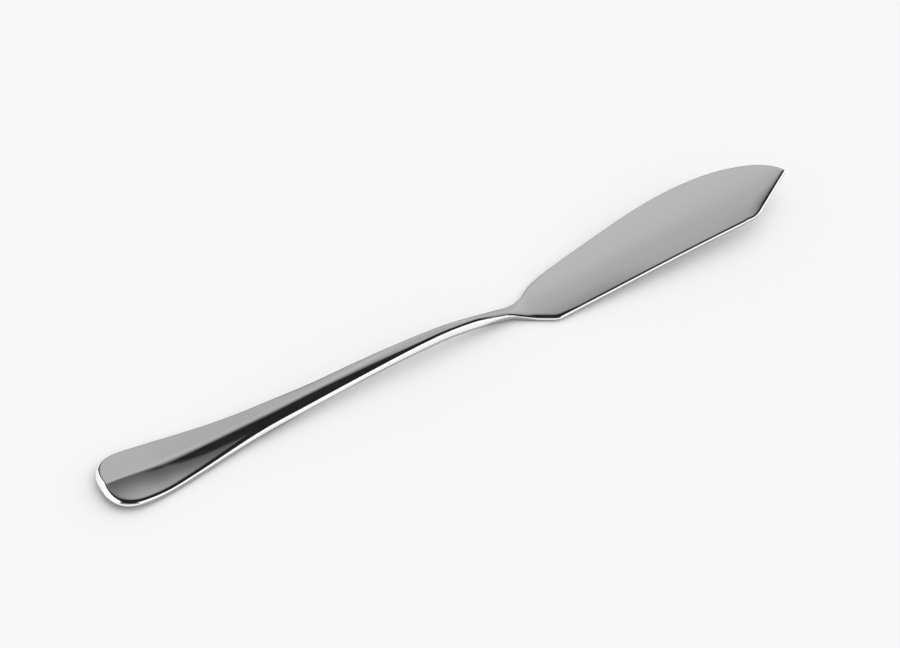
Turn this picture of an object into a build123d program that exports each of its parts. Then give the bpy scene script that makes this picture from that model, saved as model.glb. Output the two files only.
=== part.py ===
"""Fish knife: a table knife made from one strip of steel, lying as it rests on a table.

Stations are distances in millimetres along the knife from the end of its handle. The plan is drawn about the
handle's centre line, with the blade's belly on the +Y side and its straight back on the -Y side.
"""

import math
import os

from build123d import *

os.makedirs("parts", exist_ok=True)

# Lengths: the handle with its neck, up to the narrowest point, and the blade from there to its point
handle_length = 113.4
blade_length = 91.8

# Plan of the handle and neck
handle_width = 17.8
flare_length = 30.0
neck_width = 3.2

# Plan of the blade, with distances from the neck's narrowest point or back from the blade's point
heel_run = 3.5
heel_length = 13.2
belly_reach = 13.4
belly_from_point = 30.7
back_reach = 7.9
clip_length = 15.7
point_offset = 1.6
point_turn = 70.0
nick_from_clip = 3.0
nick_width = 2.4
nick_depth = 0.4

# Two curves of the belly, from the neck out to a turn and from there to its widest point: where the turn is
# and how steep, and leads and trails, which say how long each curve keeps to its first and last direction
belly_turn_run = 18.0
belly_turn_offset = 7.5
belly_turn_slope = 0.177
swing_lead = 10.7
swing_trail = 10.0
belly_lead = 24.8
belly_trail = 8.7

# Rounding of the plan's corners
heel_hollow_radius = 6.0
heel_corner_radius = 4.0
nick_radius = 1.2
shoulder_radius = 4.0
point_radius = 0.7

# Side view: the handle's turned-up end, the arch of stem and neck, and the rising blade
end_lift = 1.25
end_lift_run = 17.0
arch_start = 22.0
arch_height = 3.1
arch_peak_to_neck = 19.0
touch_from_neck = 8.4
touch_bend = 6.0
blade_rise = 0.1255
blade_bow_radius = 1430.0
rest_depth = 0.04

# Thickness on the centre line
end_thickness = 2.8
stem_thickness = 3.6
stem_full_station = 45.0
thinning_to_neck = 12.0
blade_thickness = 1.8
blade_full_from_neck = 10.0
point_thickness = 1.6

# Cross-section of the top: a ridge on the handle, a crown on the stem and a slight crown on the blade
ridge_slope = 0.18
ridge_slope_stem = 0.27
ridge_full_station = 30.0
ridge_fade_start = 40.0
ridge_fade_end = 75.0
ridge_radius = 0.5
crown_slope = 0.5
crown_start = 20.0
crown_full_station = 65.0
crown_fade_run = 33.0
crown_end_to_neck = 6.0
blade_crown_radius = 290.0
edge_thinning_depth = 0.35
end_roll_run = 2.6
end_roll_depth = 1.2

# Rounding of the rim, and where the handle ends and the neck begins
rim_radius = 0.4
rim_share = 0.38
stem_cut_station = 62.0

# Spare stock around the plan while the strip is being shaped
side_spare = 0.9
end_spare = 0.5

# Sections that the strip is drawn through, counted by stretch, and the gap from one stretch to the next
end_sections = 5
handle_sections = 17
neck_sections = 8
blade_sections = 7
section_gap = 3.0

# Places worked out from the sizes above
overall_length = handle_length + blade_length
handle_radius = handle_width / 2
neck_station = handle_length
heel_station = neck_station + heel_length
belly_station = overall_length - belly_from_point
clip_station = overall_length - clip_length
nick_station = clip_station - nick_from_clip
arch_peak = neck_station - arch_peak_to_neck
touch_station = neck_station + touch_from_neck
thinning_start = neck_station - thinning_to_neck
blade_full_station = neck_station + blade_full_from_neck
crown_fade_end = neck_station - crown_end_to_neck
crown_fade_start = crown_fade_end - crown_fade_run
blade_half_stock = max(belly_reach, back_reach) + 2 * side_spare
neck_share = 1 / (1 + ((neck_station - handle_radius) / flare_length) ** 2)
least_half_width = (neck_width / 2 - handle_radius * neck_share) / (1 - neck_share)


def ease(value, start, end):
    """Goes smoothly from 0 at start to 1 at end."""
    share = min(max((value - start) / (end - start), 0), 1)
    return share * share * (3 - 2 * share)


def soft_length(value, radius):
    """The size of a value, rounded off near zero as by an arc of this radius."""
    return math.sqrt(value * value + radius * radius) - radius


def spaced(start, end, count):
    """This many stations, evenly spaced from start to end."""
    return [start + (end - start) * step / (count - 1) for step in range(count)]


def half_width(station):
    """Half of the plan width of the handle behind its round end, and of the neck."""
    spread = max(station - handle_radius, 0) / flare_length
    return least_half_width + (handle_radius - least_half_width) / (1 + spread * spread)


def underside(station):
    """Height of the underside above the table."""
    lift = end_lift * (1 - ease(station, 0, end_lift_run))
    arch = arch_height * ease(station, arch_start, arch_peak)
    arch = arch - arch_height * ease(station, arch_peak, touch_station)
    run = max(station - touch_station, 0)
    bow = run * run / (2 * blade_bow_radius)
    return lift + arch + blade_rise * soft_length(run, touch_bend) - bow - rest_depth


def thickness(station):
    """Thickness on the centre line."""
    gain = (stem_thickness - end_thickness) * ease(station, 0, stem_full_station)
    loss = (stem_thickness - blade_thickness) * ease(station, thinning_start, blade_full_station)
    loss = loss + (blade_thickness - point_thickness) * ease(station, blade_full_station, overall_length)
    roll = end_roll_depth * max(1 - station / end_roll_run, 0) ** 2
    return end_thickness + gain - loss - roll


def crown_drop(station, offset):
    """How far the top falls from the centre line at this offset to either side."""
    near_ridge = ridge_slope + (ridge_slope_stem - ridge_slope) * ease(station, 0, ridge_full_station)
    near_ridge = near_ridge * (1 - ease(station, ridge_fade_start, ridge_fade_end))
    near_rim = crown_slope * ease(station, crown_start, crown_full_station)
    near_rim = near_rim * (1 - ease(station, crown_fade_start, crown_fade_end))
    run = soft_length(offset, ridge_radius)
    flank = near_ridge * run + (near_rim - near_ridge) * run * run / (2 * half_width(station))
    blade = offset * offset / (2 * blade_crown_radius)
    return flank + blade * ease(station, crown_fade_end, blade_full_station)


def half_stock(station):
    """Half of the width of the strip before its plan is cut out of it."""
    spread = ease(station, thinning_start, touch_station)
    slim = half_width(station) + side_spare
    return slim + (blade_half_stock - slim) * spread


# Plan outline
taper_samples = (0.1, 0.2, 0.35, 0.55, 0.8)
taper_run = neck_station - handle_radius
taper_stations = [handle_radius + share * taper_run for share in taper_samples]
taper = [(station, half_width(station)) for station in taper_stations]
neck_edge = Vector(neck_station, neck_width / 2)
turn = Vector(neck_station + belly_turn_run, belly_turn_offset)
along = Vector(1, 0)
turn_way = Vector(1, belly_turn_slope)
widest = Vector(belly_station, belly_reach)
front_run = overall_length - belly_station
front_drop = belly_reach - point_offset
front_shape = ((0.632, 0.242), (0.906, 0.646))
front = [(belly_station + x * front_run, belly_reach - y * front_drop) for x, y in front_shape]
point = (overall_length, point_offset)
point_slope = math.radians(point_turn)
back_corners = [
    (neck_station, -neck_width / 2),
    (neck_station + heel_run, -neck_width / 2),
    (heel_station, -back_reach),
    (nick_station - nick_width / 2, -back_reach),
    (nick_station, nick_depth - back_reach),
    (nick_station + nick_width / 2, -back_reach),
    (clip_station, -back_reach),
    point,
]
back_radii = (heel_hollow_radius, heel_corner_radius, nick_radius, nick_radius, nick_radius, shoulder_radius)

with BuildSketch() as plan:
    with BuildLine():
        ThreePointArc((handle_radius, handle_radius), (0, 0), (handle_radius, -handle_radius))
        Spline(
            (handle_radius, handle_radius),
            *taper,
            (neck_station, neck_width / 2),
            tangents=((1, 0), (1, 0)),
        )
        Spline(
            (handle_radius, -handle_radius),
            *[(x, -y) for x, y in taper],
            (neck_station, -neck_width / 2),
            tangents=((1, 0), (1, 0)),
        )
        Bezier(neck_edge, neck_edge + along * swing_lead, turn - turn_way * swing_trail, turn)
        Bezier(turn, turn + turn_way * belly_lead, widest - along * belly_trail, widest)
        Spline(
            widest,
            *front,
            point,
            tangents=((1, 0), (math.cos(point_slope), -math.sin(point_slope))),
        )
        FilletPolyline(*back_corners, radius=back_radii)
    make_face()
    fillet(plan.vertices().sort_by(Axis.X)[-1], point_radius)

middle = plan.sketch.bounding_box().center()
table = Plane(origin=(-middle.X, -middle.Y, 0))


def across(station):
    """The plane across the knife at a station, with its x along +Y and its y upwards."""
    return Plane(origin=(station - middle.X, -middle.Y, 0), x_dir=(0, 1, 0), z_dir=(1, 0, 0))


# The whole strip: a bar with the knife's side view and crown, cut to the plan and rounded along its rim
end_stations = spaced(-end_spare, end_roll_run, end_sections)
handle_stations = spaced(end_roll_run + section_gap, thinning_start - section_gap, handle_sections)
neck_stations = spaced(thinning_start, blade_full_station, neck_sections)
blade_stations = spaced(blade_full_station + section_gap, overall_length + end_spare, blade_sections)
crown_samples = (-1, -0.75, -0.5, -0.3, -0.15, -0.06, 0, 0.06, 0.15, 0.3, 0.5, 0.75, 1)
belly_edge = thickness(belly_station) - crown_drop(belly_station, belly_reach) - edge_thinning_depth
edge_radius = min(rim_radius, rim_share * belly_edge)

with BuildPart() as strip:
    for station in end_stations + handle_stations + neck_stations + blade_stations:
        low = underside(station)
        high = low + thickness(station)
        half = half_stock(station)
        thin = edge_thinning_depth * ease(station, touch_station, heel_station)
        top = [(share * half, high - crown_drop(station, share * half)) for share in crown_samples]
        with BuildSketch(across(station)):
            with BuildLine():
                Spline(*top)
                Polyline(top[-1], (half, low + thin), (-half, low), top[0])
            make_face()
    loft()
    with BuildSketch(table.offset(-end_spare)):
        add(plan.sketch)
    extrude(amount=overall_length / 2, mode=Mode.INTERSECT)
    fillet(strip.faces().sort_by(SortBy.AREA)[-2:].edges(), edge_radius)
    split(bisect_by=Plane.XY, keep=Keep.TOP)

# Named parts: the strip divided at the stem and at the narrowest point of the neck
with BuildPart() as handle:
    add(strip.part)
    split(bisect_by=across(stem_cut_station), keep=Keep.BOTTOM)

with BuildPart() as neck:
    add(strip.part)
    split(bisect_by=across(stem_cut_station), keep=Keep.TOP)
    split(bisect_by=across(neck_station), keep=Keep.BOTTOM)

with BuildPart() as blade:
    add(strip.part)
    split(bisect_by=across(neck_station), keep=Keep.TOP)

handle.part.label = "handle"
neck.part.label = "neck"
blade.part.label = "blade"
export_step(handle.part, "parts/handle.step")
export_step(neck.part, "parts/neck.step")
export_step(blade.part, "parts/blade.step")
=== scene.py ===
import math

import bpy
import numpy as np
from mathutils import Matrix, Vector


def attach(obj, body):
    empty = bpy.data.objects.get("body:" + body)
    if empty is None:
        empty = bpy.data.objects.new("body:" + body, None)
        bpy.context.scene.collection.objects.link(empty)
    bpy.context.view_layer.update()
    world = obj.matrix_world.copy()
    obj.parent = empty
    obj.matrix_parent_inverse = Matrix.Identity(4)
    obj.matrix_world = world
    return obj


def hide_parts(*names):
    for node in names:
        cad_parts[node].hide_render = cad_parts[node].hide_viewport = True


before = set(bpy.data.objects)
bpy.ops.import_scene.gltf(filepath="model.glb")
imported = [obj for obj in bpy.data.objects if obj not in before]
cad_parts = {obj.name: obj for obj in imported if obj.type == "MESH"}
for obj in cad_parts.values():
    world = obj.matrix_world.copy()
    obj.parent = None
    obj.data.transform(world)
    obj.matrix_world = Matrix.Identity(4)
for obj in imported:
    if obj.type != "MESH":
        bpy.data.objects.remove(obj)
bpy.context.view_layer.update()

# The handle: the broad, thick end of a knife that is forged whole from one strip of stainless steel and
# mirror polished. Its end is round and turned up a little, and a ridge runs down its hollow top.
# Stations run in millimetres from the handle's end, and offsets from its centre line towards the belly.
mm = 0.001
strip_middle = (102.516, 2.25, 0)
overall_length = 205.2
stem_cut = 62.0
neck_cut = 113.4
touch_station = 121.8
blade_full_station = 123.4


def ease(value, start, end):
    """Goes smoothly from 0 at start to 1 at end."""
    share = np.clip((value - start) / (end - start), 0, 1)
    return share * share * (3 - 2 * share)


def changing(station, course):
    """A value along the knife: its first value, then rows of a change and the stations it runs between."""
    first, *changes = course
    return first + sum(change * ease(station, start, end) for change, start, end in changes)


def flowing(station, points):
    """A smooth line through points that each give a station, an offset and a slope."""
    at, offset, slope = np.array(points).T
    span = np.clip(np.searchsorted(at, station) - 1, 0, len(at) - 2)
    run = at[span + 1] - at[span]
    share = np.clip((station - at[span]) / run, 0, 1)
    blend = ease(share, 0, 1)
    swing = slope[span] * (1 - share) - slope[span + 1] * share
    return offset[span] * (1 - blend) + offset[span + 1] * blend + run * share * (1 - share) * swing


# Plan: an end a little squarer than an arc, and sides that narrow along the stem to the neck
handle_radius = 8.9
end_power = 2.4
end_start = 0.35
end_run = handle_radius - end_start
neck_half_width = 1.6
handle_sides = (
    (handle_radius, handle_radius, 0),
    (20.0, 7.8, -0.166),
    (30.0, 6.115, -0.165),
    (42.0, 4.46, -0.098),
    (52.0, 3.8, -0.052),
    (90.0, 2.12, -0.038),
    (neck_cut, neck_half_width, 0),
)


def handle_plan(station):
    """Offsets of the outline's near and far side and of the line between them, for handle and neck."""
    inward = np.clip((handle_radius - station) / end_run, 0, 1)
    half = flowing(station, handle_sides) * (1 - inward ** end_power) ** (1 / end_power)
    return -half, half, 0 * half


# Side view: the end turned up, stem and neck arched over the table, the stem slimmed from below at its waist,
# and the blade rising from where the strip touches the table again
end_lift = 0.5
end_lift_run = 17
arch_height = 3.1
arch_start = 22
arch_peak = 94.4
lift_and_arch = (
    end_lift,
    (-end_lift, 0, end_lift_run),
    (arch_height, arch_start, arch_peak),
    (-arch_height, arch_peak, touch_station),
)
stem_waist = (0, (0.85, 46, 58), (-0.85, 70, 92))
touch_bend = 6
blade_rise = 0.1255
blade_bow_radius = 1430
rest_depth = 0.04


def underside(station):
    """Height of the underside above the table, all along the knife."""
    run = np.maximum(station - touch_station, 0)
    rise = blade_rise * (np.sqrt(run * run + touch_bend ** 2) - touch_bend)
    bow = run * run / (2 * blade_bow_radius)
    return changing(station, lift_and_arch) + changing(station, stem_waist) + rise - bow - rest_depth


# Thickness before the stem is slimmed: stout at the turned-up end, less behind it, full along stem and neck,
# and thin in the blade
strip_thickness = (
    3.55,
    (-0.75, 0, end_lift_run),
    (0.8, 8, 56),
    (-1.8, 105, blade_full_station),
    (-0.2, blade_full_station, overall_length),
)


def thickness(station):
    """Thickness on the centre line, all along the knife."""
    return changing(station, strip_thickness) - changing(station, stem_waist)


# Roll of the top's rim: its width, and its depth as a share of the thickness
roll_power = 3
roll_width = (
    1.3,
    (1.1, 44, 58),
    (-0.95, 60, 95),
    (-0.85, 106, 114),
    (0.7, 120, 123),
    (-0.55, 127, 134),
    (0.45, 188, 194),
)
roll_depth_share = (
    0.38,
    (0.04, 44, 58),
    (0.2, 70, 95),
    (-0.42, 106, 114),
    (0.3, 120, 123),
    (-0.14, 127, 134),
)


def rim_roll(station, inset):
    """How far the top rolls down to its rim at this distance in from the outline."""
    depth = changing(station, roll_depth_share) * thickness(station)
    share = np.clip(1 - inset / changing(station, roll_width), 0, 1)
    return depth * (1 - (1 - share ** roll_power) ** (1 / roll_power))


# Top: the ridge with its fold and its hollow flanks, the crown and slight lean of the stem, and the end's bevel
ridge_slope = (0.152, (0.07, 5, 36), (-0.222, 42, 80))
flank_hollow = (0.0125, (0.008, 5, 36), (-0.0205, 42, 80))
ridge_fold = (0.65, (0.75, 8, 22))
stem_crown = (0, (0.05, 45, 65), (-0.05, 72, 92))
stem_lean = (0, (-0.05, 50, 85), (0.05, 106, 113))
bevel_foot = 2.45
bevel_slope = 1.3
bevel_rise = 0.0105
bevel_softness = 0.1


def handle_fall(station, offset, inset):
    """How far the top lies below its ridge, with its flanks, its crown, its rolled rim and the end's bevel."""
    fold = changing(station, ridge_fold)
    run = np.where(abs(offset) < fold, offset * offset / (2 * fold), abs(offset) - fold / 2)
    flank = changing(station, ridge_slope) * run - changing(station, flank_hollow) * run * run / 2
    crown = changing(station, stem_crown) * offset * offset
    lean = changing(station, stem_lean) * offset
    fall = flank + crown + lean + rim_roll(station, inset)
    bevel_height = bevel_foot + bevel_slope * inset + bevel_rise * station ** 2
    bevel = underside(station) + thickness(station) - bevel_height
    return (fall + bevel + np.sqrt((fall - bevel) ** 2 + bevel_softness)) / 2


# Skin: columns that crowd at the rims and at the ridge. Below, the rims are rounded by a share of the
# thickness, and the blade is thinned towards its belly.
rim_columns = 14
face_columns = 26
ridge_crowding = 1.5
rim_shares = 1 - np.sin(np.linspace(math.pi / 2, 0, rim_columns)) ** (2 / roll_power)
face_shares = np.linspace(1, 0, face_columns) ** ridge_crowding
wall_shares = np.array([0.25, 0.5, 0.75])
rim_band = 2.6
rim_band_share = 0.6
low_rounding = (
    0.33,
    (0.17, 0, 9),
    (-0.14, 30, 60),
    (0.14, 68, 88),
    (-0.14, 108, 120),
    (-0.13, 113, 125),
)
edge_thinning = 0.35
thinning_end = 126.6
half_stock = 15.2


def columns_across(near, far, centre):
    """Offsets across the top, from the near rim to the far one."""
    sides = []
    for edge in (near, far):
        width = edge - centre
        rim = np.minimum(rim_band, rim_band_share * abs(width)) * np.sign(width)
        rim_offsets = edge - rim * rim_shares[:-1]
        face_offsets = centre + (width - rim) * face_shares
        sides.append(np.concatenate([rim_offsets, face_offsets], axis=1))
    near_side, far_side = sides
    return np.concatenate([near_side, far_side[:, -2::-1]], axis=1)


def inset_within(along, across, near, far):
    """How far in from the outline each point of the plan lies."""
    near_lean = np.sqrt(1 + np.gradient(near[:, 0], along[:, 0]) ** 2)[:, None]
    far_lean = np.sqrt(1 + np.gradient(far[:, 0], along[:, 0]) ** 2)[:, None]
    side_inset = np.minimum((far - across) / far_lean, (across - near) / near_lean)
    to_end = abs((handle_radius - along) / end_run) ** end_power
    to_side = abs(across / handle_radius) ** end_power
    end_inset = handle_radius * (1 - (to_end + to_side) ** (1 / end_power))
    return np.maximum(np.where(along < handle_radius, end_inset, side_inset), 0)


def skin_points(stations, plan, fall):
    """Points of the skin in rows, one row a station, each going once around from the near rim."""
    along = stations[:, None]
    near, far, centre = (line[:, None] for line in plan(stations))
    across = columns_across(near, far, centre)
    inset = inset_within(along, across, near, far)
    top = underside(along) + thickness(along) - fall(along, across, inset)
    low_radius = changing(along, low_rounding) * thickness(along)
    inward = np.clip(low_radius - inset, 0, low_radius)
    belly_share = (across + half_stock) / (2 * half_stock)
    thin = edge_thinning * ease(along, touch_station, thinning_end) * belly_share
    low = underside(along) + thin + low_radius - np.sqrt(low_radius ** 2 - inward ** 2)
    low = np.maximum(low, 0)
    far_wall = top[:, -1:] + (low[:, -1:] - top[:, -1:]) * wall_shares
    near_wall = low[:, :1] + (top[:, :1] - low[:, :1]) * wall_shares
    far_edge = np.repeat(far, len(wall_shares), axis=1)
    near_edge = np.repeat(near, len(wall_shares), axis=1)
    offsets = np.concatenate([across, far_edge, across[:, ::-1], near_edge, across[:, :1]], axis=1)
    heights = np.concatenate([top, far_wall, low[:, ::-1], near_wall, top[:, :1]], axis=1)
    places = np.repeat(along, offsets.shape[1], axis=1)
    return (np.stack([places, offsets, heights], axis=2) - strip_middle) * mm


merge_distance = 0.0001 * mm
crease_angle = math.radians(60)


def forge(name, stations, plan, fall):
    """Wraps a grid of faces around one stretch of the strip and closes its cut ends."""
    skin = skin_points(stations, plan, fall)
    rows, columns = skin.shape[:2]
    bpy.ops.object.select_all(action="DESELECT")
    bpy.ops.mesh.primitive_grid_add(x_subdivisions=rows - 1, y_subdivisions=columns - 1, size=2)
    piece = bpy.context.object
    piece.name = name
    grid = np.empty(len(piece.data.vertices) * 3)
    piece.data.vertices.foreach_get("co", grid)
    grid = (grid.reshape(-1, 3) + 1) / 2
    row = np.rint(grid[:, 0] * (rows - 1)).astype(int)
    column = np.rint(grid[:, 1] * (columns - 1)).astype(int)
    piece.data.vertices.foreach_set("co", skin[row, column].ravel())
    bpy.ops.object.mode_set(mode="EDIT")
    bpy.ops.mesh.select_all(action="SELECT")
    bpy.ops.mesh.remove_doubles(threshold=merge_distance)
    bpy.ops.mesh.fill_holes(sides=0)
    bpy.ops.mesh.normals_make_consistent(inside=False)
    bpy.ops.object.mode_set(mode="OBJECT")
    bpy.ops.object.shade_smooth_by_angle(angle=crease_angle)
    return piece


class Shade:
    """A value in a shader. Arithmetic on it adds Math nodes to its tree."""

    def __init__(self, tree, socket=None):
        self.tree = tree
        self.socket = socket

    def node(self, kind, settings=None, values=None, output=0):
        """Adds a node, with its settings first and then the values or links of its sockets."""
        made = self.tree.nodes.new(kind)
        for name, value in (settings or {}).items():
            setattr(made, name, value)
        for name, value in (values or {}).items():
            if isinstance(value, Shade):
                self.tree.links.new(value.socket, made.inputs[name])
            else:
                made.inputs[name].default_value = value
        return Shade(self.tree, made.outputs[output] if made.outputs else None)

    def math(self, operation, *values):
        """Adds a Math node."""
        return self.node("ShaderNodeMath", {"operation": operation}, dict(enumerate(values)))

    def step(self, start, end):
        """Goes smoothly from 0 at start to 1 at end."""
        limits = {"Value": self, "From Min": start, "From Max": end}
        return self.node("ShaderNodeMapRange", {"interpolation_type": "SMOOTHSTEP"}, limits)

    def __add__(self, other):
        return self.math("ADD", self, other)

    def __sub__(self, other):
        return self.math("SUBTRACT", self, other)

    def __rsub__(self, other):
        return self.math("SUBTRACT", other, self)

    def __mul__(self, other):
        return self.math("MULTIPLY", self, other)

    __radd__ = __add__
    __rmul__ = __mul__


# Polish: near to a mirror, with a haze in it, and painted shade, a darker base colour, where the lower rim
# turns under
steel_grey = 0.95
rim_painted_shade = 0.68
painted_shade_from_side = (0.12, -0.06)
painted_shade_from_below = (-0.95, -0.8)
polish_roughness = 0.04
haze_roughness = 0.02
haze_scale = 140.0
haze_detail = 3.0


def polished_steel(name):
    """Bright steel with a faint haze in its polish, and a band of painted shade around its lower rim."""
    steel = bpy.data.materials.new(name)
    steel.use_nodes = True
    steel.node_tree.nodes.clear()
    tree = Shade(steel.node_tree)
    place = tree.node("ShaderNodeTexCoord", output="Object")
    grain = {"Vector": place, "Scale": haze_scale, "Detail": haze_detail}
    haze = tree.node("ShaderNodeTexNoise", values=grain)
    facing = tree.node("ShaderNodeNewGeometry", output="Normal")
    rise = tree.node("ShaderNodeSeparateXYZ", values={"Vector": facing}, output="Z")
    # painted shade: the base colour is darkened where the lower rim faces down, standing in for the shadowed
    # table that it mirrors
    painted_shade_band = rise.step(*painted_shade_from_side) * rise.step(*painted_shade_from_below)
    surface = tree.node("ShaderNodeBsdfPrincipled", values={
        "Base Color": steel_grey - rim_painted_shade * painted_shade_band,
        "Metallic": 1.0,
        "Roughness": polish_roughness + haze_roughness * haze,
    })
    tree.node("ShaderNodeOutputMaterial", values={"Surface": surface})
    return steel


# Rows: close together at the round end, even along the stem, with a last short step before the cut
end_rows = 33
handle_rows = 60
cut_step = 0.02
end_stations = handle_radius - end_run * np.cos(np.linspace(0, math.pi / 2, end_rows))
handle_stations = np.concatenate([
    end_stations[:-1],
    np.linspace(handle_radius, stem_cut - cut_step, handle_rows),
    [stem_cut],
])
handle = forge("handle_skin", handle_stations, handle_plan, handle_fall)
handle.data.materials.append(polished_steel("handle_steel"))
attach(handle, "root")
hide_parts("handle")

# The blade: the same strip forged thin and wide, with a full belly, a straight back with a small nick, and a
# clipped point. It rises from the table in front of its heel and is blunt all round, as a fish knife is.
belly_points = (
    (neck_cut, neck_half_width, 0),
    (118.2, 1.95, 0.15),
    (122.4, 3.7, 0.655),
    (125.1, 5.45, 0.6),
    (129.0, 6.93, 0.29),
    (134.4, 8.05, 0.185),
    (152.0, 11.03, 0.165),
    (174.5, 13.4, 0),
    (193.9, 10.55, -0.36),
    (202.3, 5.78, -0.95),
    (overall_length, 1.6, -2.3),
)
back_offset = -7.9
heel_slope = -0.6117
heel_start = 116.9
heel_start_round = 1.8
heel_end = 127.2
heel_end_round = 1.2
nick_slope = 0.14
nick_station = 186.5
nick_half_width = 1.2
nick_side_round = 0.2
nick_middle_round = 0.4
clip_slope = 0.605
clip_station = 189.5
clip_round = 2.2
point_radius = 0.7
point_station = 204.346
point_offset = 1.9
belly_meets_point = 205.0
back_meets_point = 204.71
last_station = point_station + point_radius
centre_swing_start = 174


def past(value, corner, run):
    """How far a value is past a corner that is rounded over this run to each side."""
    near = np.clip(value - corner + run, 0, 2 * run)
    return near * near / (4 * run) + np.maximum(value - corner - run, 0)


def blade_plan(station):
    """Offsets of the outline's back and belly and of the line between them."""
    point_arc = np.sqrt(np.maximum(point_radius ** 2 - (station - point_station) ** 2, 0))
    belly = flowing(station, belly_points)
    belly = np.where(station > belly_meets_point, point_offset + point_arc, belly)
    heel = past(station, heel_start, heel_start_round) - past(station, heel_end, heel_end_round)
    nick = past(station, nick_station - nick_half_width, nick_side_round)
    nick = nick - 2 * past(station, nick_station, nick_middle_round)
    nick = nick + past(station, nick_station + nick_half_width, nick_side_round)
    clip = past(station, clip_station, clip_round)
    back = heel_slope * heel + nick_slope * nick + clip_slope * clip - neck_half_width
    back = np.where(station > back_meets_point, point_offset - point_arc, back)
    swing = np.clip((station - centre_swing_start) / (last_station - centre_swing_start), 0, 1)
    return back, belly, point_offset * swing ** 2


# Top: a faint crown that bends down more towards the back, and soft rolls at the root and along the clip
crown_start = 107.4
crown_radius = 290
back_tilt = 0.016
back_tilt_start = -0.5
back_tilt_round = 2.5
back_bend = (0.0018, (-0.0018, 140, 165), (0.0006, 175, 190))
back_bend_start = 2
root_roll_depth = (0, (0.12, 98, 106), (-0.12, 119, 124))
root_roll_width = 2.2
clip_roll_depth = (0, (0.165, 186, 193))
clip_roll_width = 4.5


def blade_crown(station, offset):
    """How far the blade's faintly crowned top lies below its middle, a little more towards the back."""
    tilt = back_tilt * past(-offset, back_tilt_start, back_tilt_round)
    bend = changing(station, back_bend) * np.maximum(back_bend_start - offset, 0) ** 2
    crown = offset * offset / (2 * crown_radius) + tilt + bend
    return crown * ease(station, crown_start, blade_full_station)


def root_roll(station, inset):
    """How far the top rolls off softly towards its rims where the neck meets the blade."""
    return changing(station, root_roll_depth) * np.clip(1 - inset / root_roll_width, 0, 1) ** 2


def clip_roll(station, offset):
    """How far the top rolls off softly towards the clipped part of the back."""
    clip_line = clip_slope * (station - clip_station) + back_offset
    clip_inset = np.maximum(offset - clip_line, 0) / math.hypot(1, clip_slope)
    return changing(station, clip_roll_depth) * np.clip(1 - clip_inset / clip_roll_width, 0, 1) ** 3


def blade_fall(station, offset, inset):
    """How far the blade's top lies below its middle, with its crown and all its rolls."""
    rolls = rim_roll(station, inset) + root_roll(station, inset) + clip_roll(station, offset)
    return blade_crown(station, offset) + rolls


# Rows: closest at the nick and around the point
heel_rows_end = 132
nick_rows_start = 184
nick_rows_end = 189
heel_rows = 60
belly_rows = 50
nick_rows = 26
clip_rows = 40
point_rows = 13
point_stations = point_station + point_radius * np.sin(np.linspace(0, math.pi / 2, point_rows))
blade_stations = np.concatenate([
    [neck_cut],
    np.linspace(neck_cut + cut_step, heel_rows_end, heel_rows)[:-1],
    np.linspace(heel_rows_end, nick_rows_start, belly_rows)[:-1],
    np.linspace(nick_rows_start, nick_rows_end, nick_rows)[:-1],
    np.linspace(nick_rows_end, point_station, clip_rows)[:-1],
    point_stations,
])
blade = forge("blade_skin", blade_stations, blade_plan, blade_fall)
blade.data.materials.append(polished_steel("blade_steel"))
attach(blade, "root")
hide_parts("blade")

# The neck: the slim stretch of the same strip that joins handle and blade. It arches up from the handle, is
# at its highest before the blade, and dips from there to the table while it thins to the blade's thickness.
neck_rows = 80


def neck_fall(station, offset, inset):
    """How far the neck's top lies below its middle, going over from the handle's shape to the blade's."""
    return handle_fall(station, offset, inset) + blade_crown(station, offset) + root_roll(station, inset)


neck_stations = np.concatenate([
    [stem_cut],
    np.linspace(stem_cut + cut_step, neck_cut - cut_step, neck_rows),
    [neck_cut],
])
neck = forge("neck_skin", neck_stations, handle_plan, neck_fall)
neck.data.materials.append(polished_steel("neck_steel"))
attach(neck, "root")
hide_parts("neck")

# The table: a plain pale floor, wide enough to have no edge in view. The knife lies loose on it, its shadow
# falls on it, and the steel mirrors it wherever it faces down.
floor_metres = 6
floor_colour = (0.9, 0.9, 0.9, 1)
bpy.ops.object.select_all(action="DESELECT")
bpy.ops.mesh.primitive_plane_add(size=floor_metres)
floor = bpy.context.object
floor.name = "floor"
pale = bpy.data.materials.new("pale_floor")
pale.use_nodes = True
pale.node_tree.nodes.clear()
tree = Shade(pale.node_tree)
surface = tree.node("ShaderNodeBsdfDiffuse", values={"Color": floor_colour})
tree.node("ShaderNodeOutputMaterial", values={"Surface": surface})
floor.data.materials.append(pale)

# The studio: soft light from a dome that leans to the right of the camera. The steel alone mirrors a room
# around it: a grey backdrop, a dark roof, white walls at both sides and a dim front.

# Rises go from 0 at the level to 1 overhead, and bearings are degrees to the right of the camera's view.
# A pair gives where a tone starts and where it is full.
camera_turn = math.radians(30.51)
room_grey = 0.012
roof_lean = 0.45
roof_rises = (0.93, 0.918)
backdrop_bearings = (30, 22)
backdrop_top_grey = 0.09
backdrop_gain = 0.295
backdrop_gain_rises = (0.925, 0.795)
backdrop_foot_loss = 0.55
backdrop_foot_rises = (0.4, 0.1)
sheen_grey = 0.085
sheen_rises = (0.8, 0.7)
sheen_bearings = (-22, -9)
sheen_loss = 0.6
sheen_loss_rises = (0.68, 0.56)
wall_white = 1.1
wall_rises = (0.72, 0.66)
wall_back_bearings = (44, 50)
wall_front_bearings = (150, 140)
wall_shade_loss = 0.75
wall_shade_rises = (0.5, 0.0)
wall_shade_back_bearings = (84, 92)
wall_shade_front_bearings = (120, 106)
front_grey = 0.16
front_rises = (0.6, 0.5)
front_bearings = (140, 150)
dome_grey = 0.62
dome_gain = 1.07
dome_gain_rises = (0.5, 0.95)
dome_up = 0.85
dome_right = 0.48
dome_back = 0.2
background_white = 0.95

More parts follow.
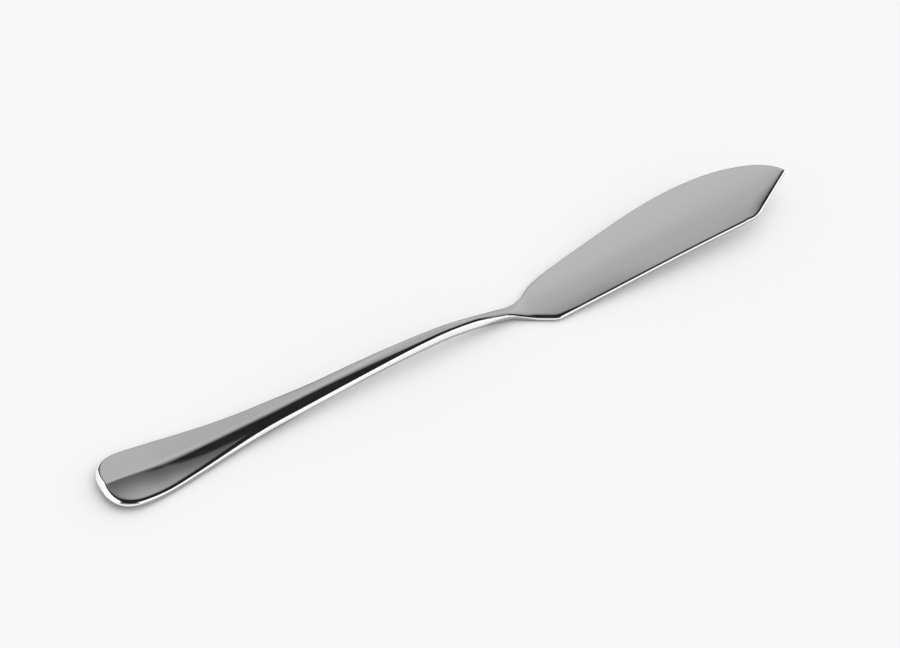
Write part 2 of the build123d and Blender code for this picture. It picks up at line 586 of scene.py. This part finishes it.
world = bpy.data.worlds.new("studio")
bpy.context.scene.world = world
world.use_nodes = True
world.node_tree.nodes.clear()
tree = Shade(world.node_tree)
direction = tree.node("ShaderNodeTexCoord", output="Generated")
east = tree.node("ShaderNodeSeparateXYZ", values={"Vector": direction}, output="X")
north = tree.node("ShaderNodeSeparateXYZ", values={"Vector": direction}, output="Y")
up = tree.node("ShaderNodeSeparateXYZ", values={"Vector": direction}, output="Z")
back = east * math.sin(camera_turn) + north * math.cos(camera_turn)
right = east * math.cos(camera_turn) - north * math.sin(camera_turn)
bearing = tree.math("DEGREES", tree.math("ARCTAN2", right, back))
aside = tree.math("ABSOLUTE", bearing)

roof_rise = up + roof_lean * right
sheen = sheen_grey * roof_rise.step(*sheen_rises) * bearing.step(*sheen_bearings)
sheen = sheen * (1 - sheen_loss * roof_rise.step(*sheen_loss_rises))
backdrop = backdrop_top_grey + backdrop_gain * roof_rise.step(*backdrop_gain_rises) + sheen
backdrop = backdrop * (1 - backdrop_foot_loss * up.step(*backdrop_foot_rises))
backdrop = backdrop * roof_rise.step(*roof_rises) * aside.step(*backdrop_bearings)
walls = aside.step(*wall_back_bearings) * aside.step(*wall_front_bearings) * up.step(*wall_rises)
wall_shade = bearing.step(*wall_shade_back_bearings) * bearing.step(*wall_shade_front_bearings)
walls = walls * (1 - wall_shade_loss * wall_shade * up.step(*wall_shade_rises))
front = front_grey * aside.step(*front_bearings) * up.step(*front_rises)
mirrored = room_grey + backdrop * (1 / steel_grey) + wall_white * walls + front

dome_rise = dome_up * up + dome_right * right + dome_back * back
lighting = dome_grey + dome_gain * dome_rise.step(*dome_gain_rises)
is_glossy = tree.node("ShaderNodeLightPath", output="Is Glossy Ray")
is_camera = tree.node("ShaderNodeLightPath", output="Is Camera Ray")
light = is_glossy * mirrored + (1 - is_glossy) * lighting
light = is_camera * background_white + (1 - is_camera) * light
glow = tree.node("ShaderNodeBackground", values={"Color": (1, 1, 1, 1), "Strength": light})
tree.node("ShaderNodeOutputWorld", values={"Surface": glow})

# The camera: a long lens that looks down on the knife across its back, turned and raised as the photograph
# was taken. It aims at a point on the table near the knife's middle.
camera_rise = math.radians(47.37)
camera_distance = 648.1 * mm
camera_aim = Vector((-0.146, 3.55, 0)) * mm
lens_length = 100
sensor_width = 36
level = math.cos(camera_rise)
forward = Vector((level * math.sin(camera_turn), level * math.cos(camera_turn), -math.sin(camera_rise)))
camera = bpy.data.objects.new("camera", bpy.data.cameras.new("camera"))
bpy.context.scene.collection.objects.link(camera)
bpy.context.scene.camera = camera
camera.data.lens = lens_length
camera.data.sensor_width = sensor_width
camera.location = camera_aim - forward * camera_distance
camera.rotation_euler = forward.to_track_quat("-Z", "Y").to_euler()

bpy.context.scene.view_settings.view_transform = "Standard"
